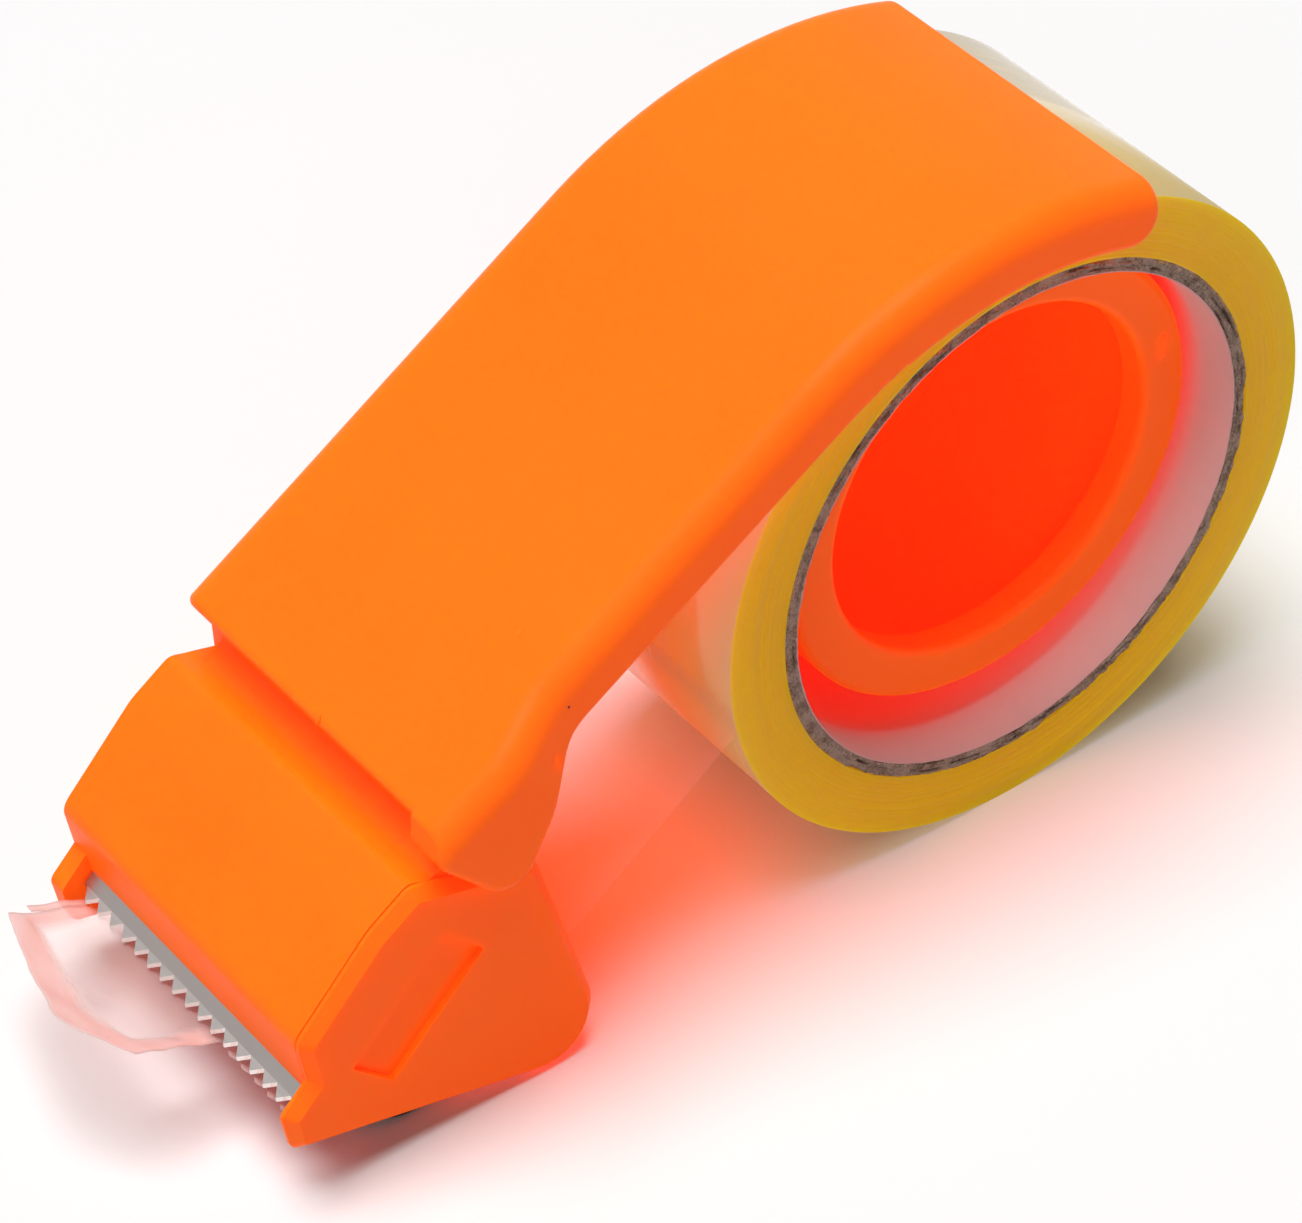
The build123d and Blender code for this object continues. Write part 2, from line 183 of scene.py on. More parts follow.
class DispenserSizes(bpy.types.PropertyGroup):
    """Sizes of the finely shaped pieces."""
    blade_angle: angle("Blade slope", "Slope of the blade above the floor", 45.6)
    blade_depth: length("Blade depth", "Blade from its teeth to its back edge", 12.0 * MM)
    blade_thickness: length("Blade thickness", "Steel strip's thickness", 0.6 * MM)
    tooth_pitch: length("Tooth pitch", "From one tooth to the next", 3.0 * MM)
    tooth_depth: length("Tooth depth", "Height of a tooth", 1.5 * MM)
    tooth_grind: length("Tooth grind", "How far the ground flank runs back from the edge", 0.5 * MM)
    tooth_bend: length("Tooth bend", "How far a tooth's point is bent up", 0.45 * MM)
    stake_hole: length("Stake hole", "Hole in the blade for a stake", 3.2 * MM)
    stake_spacing: length("Stake spacing", "Between the two stakes", 32.0 * MM)
    stake_from_back: length("Stake place", "From the blade's back edge to a stake", 4.0 * MM)
    plies: IntProperty(name="Plies", description="Cardboard plies in the core's wall", default=5, min=1)
    ragged: length("Ragged edge", "How far the cardboard's cut edge wanders", 0.22 * MM)
    chip_depth: length("Chip depth", "Deepest chip in the cardboard's cut edge", 0.9 * MM)
    paper_thickness: length("Paper thickness", "Core liner's paper", 0.2 * MM)
    bands: IntProperty(name="Bands", description="Bands of turns on the roll's sides", default=36, min=4)
    band_step: length("Band step", "How far a band of turns stands in or out", 0.07 * MM)
    film_thickness: length("Film thickness", "Clear film with its glue", 0.06 * MM)
    film_gap: length("Film gap", "From the film to the roller and the roll", 0.3 * MM)
    tail_angle: angle("Tail slope", "Rise of the torn end from the blade", 25.0)
    tail_length: length("Tail length", "Longest part of the torn end", 20.4 * MM)
    tail_curl: length("Tail curl", "Depth of the hollow in the torn end", 1.6 * MM)


class DispenserSettings(bpy.types.PropertyGroup):
    """All settings of the dispenser."""
    colours: PointerProperty(type=DispenserColours)
    sizes: PointerProperty(type=DispenserSizes)


def add_node(tree, kind, inputs=None, **settings):
    """Shader node with its settings, and with each input set to a value or linked to a socket."""
    node = tree.nodes.new("ShaderNode" + kind)
    for name, value in settings.items():
        setattr(node, name, value)
    for name, value in (inputs or {}).items():
        if isinstance(value, bpy.types.NodeSocket):
            tree.links.new(value, node.inputs[name])
        else:
            node.inputs[name].default_value = value
    return node


def new_material(name, **sockets):
    """Material, its node tree and its main shader with sockets set; a socket's name has _ for a space."""
    material = bpy.data.materials.new(name)
    material.use_nodes = True
    shader = material.node_tree.nodes["Principled BSDF"]
    for socket, value in sockets.items():
        shader.inputs[socket.replace("_", " ")].default_value = value
    return material, material.node_tree, shader


def pattern_scale(size):
    """Noise scale whose features have about this size in metres."""
    return 1 / size


def let_light_through(tree, shader, tint, share=1.0):
    """Let a lamp's light through a wall to what lies behind it, tinted at each surface."""
    ray = add_node(tree, "LightPath")
    lit = add_node(tree, "Math", {0: ray.outputs["Is Shadow Ray"], 1: share}, operation="MULTIPLY")
    clear = add_node(tree, "BsdfTransparent", {"Color": tint})
    passed = add_node(tree, "MixShader", {0: lit.outputs[0], 1: shader.outputs[0], 2: clear.outputs[0]})
    tree.links.new(passed.outputs[0], tree.nodes["Material Output"].inputs["Surface"])


def moulded_abs(colours):
    """ABS with fluorescent pigment, injection moulded: smooth and satin, and lit through its thin walls."""
    # Its even red emission is a painted glow: it stands in for the pigment's fluorescence and for light
    # through the walls, and keeps shaded faces, hollows and the floor near them red.
    material, tree, shader = new_material(
        "Fluorescent ABS, moulded", IOR=1.54, Specular_IOR_Level=0.06, Subsurface_Weight=1.0,
        Subsurface_Scale=1.5 * MM, Subsurface_Radius=(1.0, 0.25, 0.05), Emission_Color=colours.painted_glow,
        Emission_Strength=0.46)
    place = add_node(tree, "TexCoord").outputs["Object"]
    parts = add_node(tree, "SeparateXYZ", {0: place})
    # The melt's flow leaves broad, faint bands.
    flow = add_node(tree, "TexNoise", {"Vector": place, "Scale": pattern_scale(38 * MM), "Detail": 2.0})
    blend = {0: flow.outputs["Fac"], MIX_A: colours.plastic, MIX_B: colours.plastic_flow}
    base = add_node(tree, "Mix", blend, data_type="RGBA")
    tree.links.new(base.outputs[MIX_RESULT], shader.inputs["Base Color"])
    # Handling leaves patches that shine a little more or less.
    worn = add_node(tree, "TexNoise", {"Vector": place, "Scale": pattern_scale(9 * MM), "Detail": 4.0})
    rough = add_node(tree, "MapRange", {"Value": worn.outputs["Fac"], **NOISE_SPAN,
                                        "To Min": 0.34, "To Max": 0.44})
    tree.links.new(rough.outputs[0], shader.inputs["Roughness"])
    # The mould's grain is about 0.05 mm, too fine to show, so it is drawn at 0.5 mm.
    grain = add_node(tree, "TexNoise", {"Vector": place, "Scale": pattern_scale(0.5 * MM), "Detail": 1.0})
    # The recess in the near cheek is stippled, about 0.6 mm from dot to dot.
    in_recess = add_node(tree, "Math", {0: parts.outputs["Y"], 1: CHEEK_FACE + RECESS_DEPTH, 2: 0.1 * MM},
                         operation="COMPARE")
    stipple = add_node(tree, "TexVoronoi", {"Vector": place, "Scale": pattern_scale(0.6 * MM)})
    dots = add_node(tree, "Math", {0: stipple.outputs["Distance"], 1: in_recess.outputs[0]},
                    operation="MULTIPLY")
    relief = add_node(tree, "Math", {0: dots.outputs[0], 1: 6.0, 2: grain.outputs["Fac"]},
                      operation="MULTIPLY_ADD")
    bump = add_node(tree, "Bump", {"Height": relief.outputs[0], "Strength": 0.12, "Distance": 0.02 * MM})
    tree.links.new(bump.outputs[0], shader.inputs["Normal"])
    # Light that passes through the handle is tinted, so the shadow below it is orange red. The head's
    # doubled walls let none through.
    head_end, handle_end = -50 * MM, -38 * MM
    thin = add_node(tree, "MapRange", {"Value": parts.outputs["X"], "From Min": head_end,
                                       "From Max": handle_end})
    let_light_through(tree, shader, colours.plastic_shadow, thin.outputs[0])
    return material


def steel(name, base, low_rough, high_rough):
    """Steel with fine lines along Y that spread its highlights: cold rolled, ground or drawn."""
    material, tree, shader = new_material(name, Base_Color=base, Metallic=1.0)
    place = add_node(tree, "TexCoord").outputs["Object"]
    # Real lines are under 0.02 mm apart, too fine to show, so they are drawn 0.15 mm apart.
    stretched = add_node(tree, "Mapping", {"Vector": place, "Scale": (1.0, 0.02, 1.0)})
    lines = add_node(tree, "TexNoise", {"Vector": stretched.outputs[0], "Scale": pattern_scale(0.15 * MM),
                                        "Detail": 2.0})
    rough = add_node(tree, "MapRange", {"Value": lines.outputs["Fac"], **NOISE_SPAN,
                                        "To Min": low_rough, "To Max": high_rough})
    tree.links.new(rough.outputs[0], shader.inputs["Roughness"])
    bump = add_node(tree, "Bump", {"Height": lines.outputs["Fac"], "Strength": 0.1, "Distance": 0.01 * MM})
    tree.links.new(bump.outputs[0], shader.inputs["Normal"])
    return material


def moulded_finish(name, base, low_rough, high_rough, grain_size, bump_strength):
    """Plain moulded finish whose shine varies with a fine grain."""
    material, tree, shader = new_material(name, Base_Color=base)
    place = add_node(tree, "TexCoord").outputs["Object"]
    grain = add_node(tree, "TexNoise", {"Vector": place, "Scale": pattern_scale(grain_size), "Detail": 3.0})
    rough = add_node(tree, "MapRange", {"Value": grain.outputs["Fac"], **NOISE_SPAN,
                                        "To Min": low_rough, "To Max": high_rough})
    tree.links.new(rough.outputs[0], shader.inputs["Roughness"])
    bump = add_node(tree, "Bump", {"Height": grain.outputs["Fac"], "Strength": bump_strength,
                                   "Distance": 0.05 * MM})
    tree.links.new(bump.outputs[0], shader.inputs["Normal"])
    return material


def cut_board(colours):
    """Grey-brown board, spiral wound and cut: matt, with dark fibres that stand out of the cut edge."""
    material, tree, shader = new_material("Cardboard, cut edge", Roughness=0.9, Specular_IOR_Level=0.2)
    place = add_node(tree, "TexCoord").outputs["Object"]
    # Fibres are about 0.03 mm wide, too fine to show, so they are drawn 0.35 mm wide.
    fibre = add_node(tree, "TexNoise", {"Vector": place, "Scale": pattern_scale(0.35 * MM), "Detail": 4.0})
    clump = add_node(tree, "TexNoise", {"Vector": place, "Scale": pattern_scale(2.5 * MM), "Detail": 3.0})
    both = add_node(tree, "Math", {0: fibre.outputs["Fac"], 1: clump.outputs["Fac"]}, operation="MULTIPLY")
    share = add_node(tree, "MapRange", {"Value": both.outputs[0], "From Min": 0.12, "From Max": 0.3})
    base = add_node(tree, "Mix", {0: share.outputs[0], MIX_A: colours.board_fibre, MIX_B: colours.board},
                    data_type="RGBA")
    tree.links.new(base.outputs[MIX_RESULT], shader.inputs["Base Color"])
    bump = add_node(tree, "Bump", {"Height": fibre.outputs["Fac"], "Strength": 0.5, "Distance": 0.15 * MM})
    tree.links.new(bump.outputs[0], shader.inputs["Normal"])
    return material


def liner_paper(colours):
    """White paper, calendered: smooth and matt, with a faint mottle of pulp. Its pink is painted, standing
    in for red light from the mouldings round it.
    """
    material, tree, shader = new_material("Paper, calendered", Roughness=0.62)
    place = add_node(tree, "TexCoord").outputs["Object"]
    pulp = add_node(tree, "TexNoise", {"Vector": place, "Scale": pattern_scale(1.6 * MM), "Detail": 5.0})
    share = add_node(tree, "MapRange", {"Value": pulp.outputs["Fac"], **NOISE_SPAN,
                                        "To Min": 0.0, "To Max": 0.12})
    shade = [0.82 * part for part in colours.paper[:3]] + [1.0]
    base = add_node(tree, "Mix", {0: share.outputs[0], MIX_A: colours.paper, MIX_B: shade},
                    data_type="RGBA")
    tree.links.new(base.outputs[MIX_RESULT], shader.inputs["Base Color"])
    bump = add_node(tree, "Bump", {"Height": pulp.outputs["Fac"], "Strength": 0.1, "Distance": 0.05 * MM})
    tree.links.new(bump.outputs[0], shader.inputs["Normal"])
    return material


def wound_side(colours):
    """Clear polypropylene film, wound, seen on its edges: honey yellow, with fine rings and patches."""
    # Its even emission is a painted glow: it stands in for light that passes through the clear turns and
    # leaves by their edges.
    material, tree, shader = new_material(
        "Polypropylene tape, wound edges", IOR=1.49, Specular_IOR_Level=0.1, Subsurface_Weight=1.0,
        Subsurface_Scale=4.0 * MM, Subsurface_Radius=(1.0, 0.7, 0.25), Emission_Color=colours.wound_deep_and_glow,
        Emission_Strength=0.22)
    place = add_node(tree, "TexCoord").outputs["Object"]
    parts = add_node(tree, "SeparateXYZ", {0: place})
    across = add_node(tree, "Math", {0: parts.outputs["X"], 1: ROLL[0]}, operation="SUBTRACT")
    up = add_node(tree, "Math", {0: parts.outputs["Z"], 1: ROLL[1]}, operation="SUBTRACT")
    spoke = add_node(tree, "CombineXYZ", {0: across.outputs[0], 1: up.outputs[0]})
    radius = add_node(tree, "VectorMath", {0: spoke.outputs[0]}, operation="LENGTH").outputs["Value"]
    # Turns are 0.05 mm apart, too fine to show, so the rings are drawn about 0.3 mm apart.
    rings = add_node(tree, "TexNoise", {"W": radius, "Scale": pattern_scale(0.3 * MM), "Detail": 2.0},
                     noise_dimensions="1D")
    blotch = add_node(tree, "TexNoise", {"Vector": place, "Scale": pattern_scale(3.5 * MM), "Detail": 4.0})
    share = add_node(tree, "MapRange", {"Value": radius, "From Min": CORE_RADIUS, "From Max": ROLL_RADIUS,
                                        "To Min": 0.1, "To Max": 0.85})
    ringed = add_node(tree, "Math", {0: rings.outputs["Fac"], 1: 0.22, 2: share.outputs[0]},
                      operation="MULTIPLY_ADD")
    mottle = add_node(tree, "Math", {0: blotch.outputs["Fac"], 1: 0.5, 2: ringed.outputs[0]},
                      operation="MULTIPLY_ADD")
    level = add_node(tree, "MapRange", {"Value": mottle.outputs[0], "From Min": 0.35, "From Max": 1.2})
    base = add_node(tree, "Mix", {0: level.outputs[0], MIX_A: colours.wound_deep_and_glow, MIX_B: colours.wound},
                    data_type="RGBA")
    tree.links.new(base.outputs[MIX_RESULT], shader.inputs["Base Color"])
    rough = add_node(tree, "MapRange", {"Value": blotch.outputs["Fac"], **NOISE_SPAN,
                                        "To Min": 0.36, "To Max": 0.55})
    tree.links.new(rough.outputs[0], shader.inputs["Roughness"])
    bump = add_node(tree, "Bump", {"Height": rings.outputs["Fac"], "Strength": 0.25, "Distance": 0.05 * MM})
    tree.links.new(bump.outputs[0], shader.inputs["Normal"])
    let_light_through(tree, shader, colours.wound_shadow)
    return material


def wound_outside(colours):
    """Clear polypropylene film, outermost turn: pale and glossy, with faint streaks along the tape."""
    material, tree, shader = new_material(
        # Its faint even emission is a painted glow, standing in for light inside the roll.
        "Polypropylene tape, outside", IOR=1.49, Specular_IOR_Level=0.5, Subsurface_Weight=1.0,
        Subsurface_Scale=2.0 * MM, Subsurface_Radius=(1.0, 0.8, 0.4), Coat_Weight=0.6, Coat_Roughness=0.1,
        Emission_Color=colours.wound_deep_and_glow, Emission_Strength=0.06)
    place = add_node(tree, "TexCoord").outputs["Object"]
    # Streaks of trapped air run round the roll, a few millimetres wide.
    stretched = add_node(tree, "Mapping", {"Vector": place, "Scale": (0.15, 1.0, 0.15)})
    streak = add_node(tree, "TexNoise", {"Vector": stretched.outputs[0], "Scale": pattern_scale(3 * MM),
                                         "Detail": 4.0})
    share = add_node(tree, "MapRange", {"Value": streak.outputs["Fac"], **NOISE_SPAN,
                                        "To Min": 0.0, "To Max": 0.3})
    base = add_node(tree, "Mix", {0: share.outputs[0], MIX_A: colours.wound_outside, MIX_B: colours.wound},
                    data_type="RGBA")
    tree.links.new(base.outputs[MIX_RESULT], shader.inputs["Base Color"])
    rough = add_node(tree, "MapRange", {"Value": streak.outputs["Fac"], **NOISE_SPAN,
                                        "To Min": 0.14, "To Max": 0.28})
    tree.links.new(rough.outputs[0], shader.inputs["Roughness"])
    let_light_through(tree, shader, colours.wound_shadow)
    return material


def clear_film(colours):
    """Clear polypropylene film with glue: see-through and glossy, milky round the torn end, where its pink
    is partly the glue's tint and partly painted orange light from the mouldings.
    """
    material, tree, shader = new_material("Polypropylene film, clear", IOR=1.49, Roughness=0.16,
                                          Specular_IOR_Level=0.25)
    haze = add_node(tree, "Attribute", attribute_name="haze").outputs["Fac"]
    base = add_node(tree, "Mix", {0: haze, MIX_A: colours.film, MIX_B: colours.film_haze},
                    data_type="RGBA")
    tree.links.new(base.outputs[MIX_RESULT], shader.inputs["Base Color"])
    alpha = add_node(tree, "MapRange", {"Value": haze, "To Min": 0.02, "To Max": 0.6})
    tree.links.new(alpha.outputs[0], shader.inputs["Alpha"])
    return material


def dark_speck():
    """Burnt speck of plastic in the moulding: nearly black and matt."""
    return new_material("Burnt speck", Base_Color=linear("#3A1408"), Roughness=0.7)[0]


def studio_floor(colours):
    """Painted board, matt: pale and even, so that only the object's shadow shows on it."""
    material, tree, shader = new_material("Painted board", Roughness=0.95, Specular_IOR_Level=0.0)
    # It is seen as white, but gives back less light than white paint would.
    path = add_node(tree, "LightPath")
    looks = (path.outputs["Is Camera Ray"], path.outputs["Is Transmission Ray"])
    seen = add_node(tree, "Math", {0: looks[0], 1: looks[1]}, operation="MAXIMUM")
    mirrored = add_node(tree, "Math", {0: seen.outputs[0], 1: path.outputs["Is Glossy Ray"]},
                        operation="MAXIMUM")
    blend = {0: mirrored.outputs[0], MIX_A: colours.floor_bounce, MIX_B: colours.floor}
    base = add_node(tree, "Mix", blend, data_type="RGBA")
    tree.links.new(base.outputs[MIX_RESULT], shader.inputs["Base Color"])
    return material


def dress(node, material):
    """Give a CAD piece its finish."""
    piece = frame["nodes"][node]
    piece.data.materials.clear()
    piece.data.materials.append(material)


def new_piece(name, vertices, faces, body, replaced, materials):
    """Mesh piece that rides on a body and stands for CAD nodes."""
    mesh = bpy.data.meshes.new(name)
    mesh.from_pydata(vertices, [], faces)
    mesh.update()
    for material in materials:
        mesh.materials.append(material)
    piece = bpy.data.objects.new(name, mesh)
    bpy.context.scene.collection.objects.link(piece)
    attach(piece, body)
    if replaced:
        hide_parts(*replaced)
    return piece


def grid_faces(rows, columns, ring_rows=False, ring_columns=False):
    """Quads of a grid of vertices, closed into a ring either way."""
    faces = []
    for row in range(rows if ring_rows else rows - 1):
        for column in range(columns if ring_columns else columns - 1):
            after, beside = (row + 1) % rows, (column + 1) % columns
            corners = ((row, column), (row, beside), (after, beside), (after, column))
            faces.append([r * columns + c for r, c in corners])
    return faces


def polar(centre, radius, turn):
    """Side-view place on a circle."""
    return centre[0] + radius * math.cos(turn), centre[1] + radius * math.sin(turn)


def turned(loops, steps):
    """Vertices of loops round the roll's axis. A loop gives the radius and place across at an angle."""
    vertices = []
    for loop in loops:
        for step in range(steps):
            turn = 2 * math.pi * step / steps
            radius, y = loop(turn)
            x, z = polar(ROLL, radius, turn)
            vertices.append((x, TAPE_MIDDLE + y, z))
    return vertices


def wander(turn, radius, seed, size):
    """Smooth wandering value from about -1 to 1 round a circle, with features of a given size."""
    return noise.noise(Vector((*polar((0, 0), radius / size, turn), seed)))


def smooth_shade(piece):
    """Shade a piece smoothly."""
    piece.data.polygons.foreach_set("use_smooth", [True] * len(piece.data.polygons))


def make_core(sizes, colours):
    """Cardboard tube whose plies end unevenly, with fibres and chips along both cut edges."""
    steps = 900
    inner = LINER_RADIUS + WOUND_FIT
    tuft, fibre, flake = 1.2 * MM, 0.4 * MM, 0.7 * MM
    ply_spread = 0.12 * MM
    chip_count = 26
    chip_widths = (1.5, 5.0)
    chip_shares = (0.4, 1.0)
    draw = random.Random(4)
    chips = []
    for _ in range(chip_count):
        middle = draw.uniform(0, 2 * math.pi)
        chips.append((middle, draw.uniform(*chip_widths) * MM, draw.uniform(*chip_shares)))

    def cut_edge(side, radius, ply):
        """Loop along a cut edge, at one radius in a ply."""
        def loop(turn):
            depth = sizes.ragged * (1 + wander(turn, radius, ply * 3.1 + side, tuft))
            depth += 0.6 * sizes.ragged * wander(turn, radius, ply * 5.7 + side, fibre)
            for middle, width, share in chips:
                # A chip takes about a third of the plies.
                if (ply * 7 + int(middle * 9)) % 3 == 0:
                    away = abs((turn + side - middle + math.pi) % (2 * math.pi) - math.pi) * radius
                    depth += sizes.chip_depth * share * max(0, 1 - away / width)
            spread = ply_spread * wander(turn, radius, ply * 2.3 + side, flake)
            return radius + spread, side * (HALF_TAPE - depth)
        return loop

    wall = CORE_RADIUS - inner
    radii = []
    for ply in range(sizes.plies):
        for share in (0.1, 0.5, 0.9):
            radii.append((inner + wall * (ply + share) / sizes.plies, ply))
    near = [cut_edge(-1, radius, ply) for radius, ply in radii]
    far = [cut_edge(1, radius, ply) for radius, ply in reversed(radii)]
    vertices = turned(near + far, steps)
    faces = grid_faces(len(near) + len(far), steps, ring_rows=True, ring_columns=True)
    new_piece("cardboard_core", vertices, faces, "roll", ["tape_core"],
              [cut_board(colours)])


def make_liner(sizes, colours):
    """White paper tube inside the core, with slightly torn edges."""
    steps = 360
    outer = LINER_RADIUS
    inner = outer - sizes.paper_thickness
    set_back = 0.15 * MM
    torn_depth, torn_width = 0.12 * MM, 1.6 * MM

    def end(side, radius, inset):
        """Loop near one end."""
        def loop(turn):
            torn = torn_depth * (1 + wander(turn, radius, side * 4.4, torn_width))
            return radius, side * (HALF_TAPE - set_back - inset - torn)
        return loop

    rings = [end(-1, inner, 0), end(-1, outer, 0), end(1, outer, 0), end(1, inner, 0)]
    for share in (0.75, 0.5, 0.25):
        rings.append(end(1, inner, (1 - share) * 2 * HALF_TAPE))
    faces = grid_faces(len(rings), steps, ring_rows=True, ring_columns=True)
    piece = new_piece("paper_liner", turned(rings, steps), faces, "roll", ["core_liner"],
                      [liner_paper(colours)])
    smooth_shade(piece)


def make_winding(sizes, colours):
    """Wound tape whose sides show bands of turns that stand in or out a little."""
    steps = 360
    band_share = 0.85
    sway_depth, sway_length = 0.05 * MM, 18 * MM
    draw = random.Random(11)
    inner = CORE_RADIUS + WOUND_FIT
    step = (ROLL_RADIUS - inner) / sizes.bands
    insets = [[draw.random() * sizes.band_step for _ in range(sizes.bands)] for _ in range(2)]

    def edge(side, band, radius):
        """Loop along one edge of a band."""
        def loop(turn):
            sway = sway_depth * (1 + wander(turn, radius, band * 0.15, sway_length))
            inset = insets[side > 0][band] + sway
            return radius, side * (HALF_TAPE - inset)
        return loop

    near, far = [], []
    for band in range(sizes.bands):
        low = inner + band * step
        near += [edge(-1, band, low), edge(-1, band, low + band_share * step)]
        far += [edge(1, band, low), edge(1, band, low + band_share * step)]
    near.append(edge(-1, sizes.bands - 1, ROLL_RADIUS))
    far.append(edge(1, sizes.bands - 1, ROLL_RADIUS))
    loops = near + far[::-1]
    faces = grid_faces(len(loops), steps, ring_rows=True, ring_columns=True)
    piece = new_piece("wound_tape", turned(loops, steps), faces, "roll", ["tape_winding"],
                      [wound_side(colours), wound_outside(colours)])
    smooth_shade(piece)
    for face in piece.data.polygons:
        if face.index // steps == len(near) - 1:
            face.material_index = 1


def make_blade(sizes, colours):
    """Steel strip with a hole for each stake, whose ground teeth are bent up a little."""
    slope = Vector((math.cos(sizes.blade_angle), 0, math.sin(sizes.blade_angle)))
    above = Vector((-slope.z, 0, slope.x))
    tip = Vector((BLADE_LOW.x, TAPE_MIDDLE, BLADE_HIGH.z - sizes.blade_depth * slope.z))
    half = (BLADE_HIGH.y - BLADE_LOW.y) / 2
    count = int(2 * half / sizes.tooth_pitch)
    first = -sizes.tooth_pitch * count / 2
    hole_steps = 24
    bm = bmesh.new()

    def spot(depth, y, level):
        """Vertex by its depth from the teeth, its place across and its height above the top face."""
        return bm.verts.new(tip + depth * slope + level * above + Vector((0, y, 0)))

    def joined(vertices):
        """Edges that join vertices into a loop."""
        return [bm.edges.new((vertex, vertices[index - 1])) for index, vertex in enumerate(vertices)]

    def one_side(level, back):
        """One face of the strip, with its teeth set back; gives its rim and the rims of its holes."""
        root = sizes.tooth_depth + back
        roots = [spot(root, first + tooth * sizes.tooth_pitch, level) for tooth in range(count + 1)]
        corners = [spot(root, -half, level), spot(root, half, level)]
        corners += [spot(sizes.blade_depth, half, level), spot(sizes.blade_depth, -half, level)]
        edges = joined([corners[0], *roots, *corners[1:]])
        rim = [corners[0], roots[0]]
        for tooth in range(count):
            point = spot(back, first + (tooth + 0.5) * sizes.tooth_pitch, level + sizes.tooth_bend)
            bm.faces.new((roots[tooth], point, roots[tooth + 1]))
            rim += [point, roots[tooth + 1]]
        holes = []
        for side in (-1, 1):
            turns = [2 * math.pi * step / hole_steps for step in range(hole_steps)]
            places = [polar((sizes.blade_depth - sizes.stake_from_back, side * sizes.stake_spacing / 2),
                            sizes.stake_hole / 2, turn) for turn in turns]
            holes.append([spot(depth, y, level) for depth, y in places])
        for hole in holes:
            edges += joined(hole)
        bmesh.ops.triangle_fill(bm, use_beauty=True, edges=edges)
        return [rim + corners[1:], *holes]

    for top, bottom in zip(one_side(0, sizes.tooth_grind), one_side(-sizes.blade_thickness, 0)):
        for index in range(len(top)):
            face = bm.faces.new((top[index - 1], top[index], bottom[index], bottom[index - 1]))
            # The rim's flanks from its second corner on are the teeth's.
            face.material_index = int(len(top) > 2 * count and 2 <= index <= 2 * count + 1)
    bmesh.ops.recalc_face_normals(bm, faces=bm.faces)
    # Rolled steel is grey and soft in its shine. Ground steel is smoother, and its colour is painted
    # brighter than bare steel, a painted glint on the teeth's flanks.
    finishes = [steel("Spring steel, rolled", colours.steel, 0.3, 0.45),
                steel("Spring steel, ground", colours.ground_steel_and_glint, 0.15, 0.25)]
    piece = new_piece("toothed_blade", [], [], "root", ["blade"], finishes)
    bm.to_mesh(piece.data)
    bm.free()


def tangent_turn(centre, radius, place, side):
    """Angle, at a circle's centre, of the tangent point of the line to an outside place."""
    dx, dz = place[0] - centre[0], place[1] - centre[1]
    return math.atan2(dz, dx) + side * math.acos(radius / math.hypot(dx, dz))


def between(start, end, count):
    """Evenly spaced values, without the last."""
    return [start + (end - start) * index / count for index in range(count)]


def straight(start, end, count):
    """Evenly spaced places on a line, without the last."""
    return [tuple(a + (b - a) * share for a, b in zip(start, end)) for share in between(0, 1, count)]


def film_path(sizes):
    """Side-view places of the film from the roll round the roller, and where it ends at the blade."""
    # Angle, in radians, that the film still follows the roll before it leaves it
    peel_lap = 0.1
    peel_steps, run_steps, wrap_steps, rise_steps = 6, 40, 24, 10
    run_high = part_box("tape_run")[1]
    peel = (run_high.x, run_high.z)
    peel_turn = math.atan2(peel[1] - ROLL[1], peel[0] - ROLL[0]) % (2 * math.pi)
    wrap = ROLLER_RADIUS + sizes.film_gap
    slope = (math.cos(sizes.blade_angle), math.sin(sizes.blade_angle))
    under = sizes.blade_thickness + sizes.film_gap
    blade_tip = (BLADE_LOW.x, BLADE_HIGH.z - sizes.blade_depth * slope[1])
    blade_side = (blade_tip[0] + under * slope[1], blade_tip[1] - under * slope[0])
    run_turn = tangent_turn(ROLLER, wrap, peel, -1) % (2 * math.pi)
    nose_turn = tangent_turn(ROLLER, wrap, blade_side, 1) % (2 * math.pi)
    lap_turns = between(peel_turn - peel_lap, peel_turn, peel_steps)
    path = [polar(ROLL, ROLL_RADIUS + sizes.film_gap, turn) for turn in lap_turns]
    path += straight(peel, polar(ROLLER, wrap, run_turn), run_steps)
    path += [polar(ROLLER, wrap, turn) for turn in between(run_turn, nose_turn, wrap_steps)]
    path += straight(polar(ROLLER, wrap, nose_turn), blade_side, rise_steps)
    return path, blade_side


